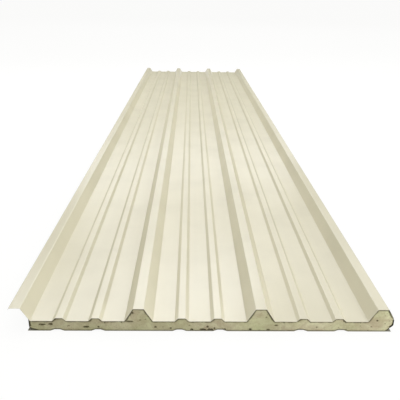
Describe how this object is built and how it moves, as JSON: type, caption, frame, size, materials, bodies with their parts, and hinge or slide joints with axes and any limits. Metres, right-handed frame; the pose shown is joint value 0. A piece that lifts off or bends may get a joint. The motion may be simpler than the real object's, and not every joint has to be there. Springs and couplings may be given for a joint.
{
  "type": "insulated sandwich panel",
  "caption": "Long insulated roof panel: ribbed sheet steel outside, rigid foam core, thin grooved liner below, one free rib that laps the next panel.",
  "frame": {"origin": "on the liner's underside, at the middle of the cover width and of the length", "axes": "+X across the panel towards the foam-filled edge rib, +Y along the ribs, +Z out of the weather side"},
  "size_m": [1.0518, 5, 0.0697],
  "materials": {
    "cream_paint": "satin polyester coil coating",
    "pir_foam": "sawn rigid foam",
    "liner_paint": "thin satin coil coating",
    "edge_tape": "matt bonded tape"
  },
  "bodies": {
    "root": {"outer_sheet": "cream_paint", "foam_core": "pir_foam", "liner_sheet": "liner_paint", "side_tape_left": "edge_tape", "side_tape_right": "edge_tape"}
  },
  "joints": []
}
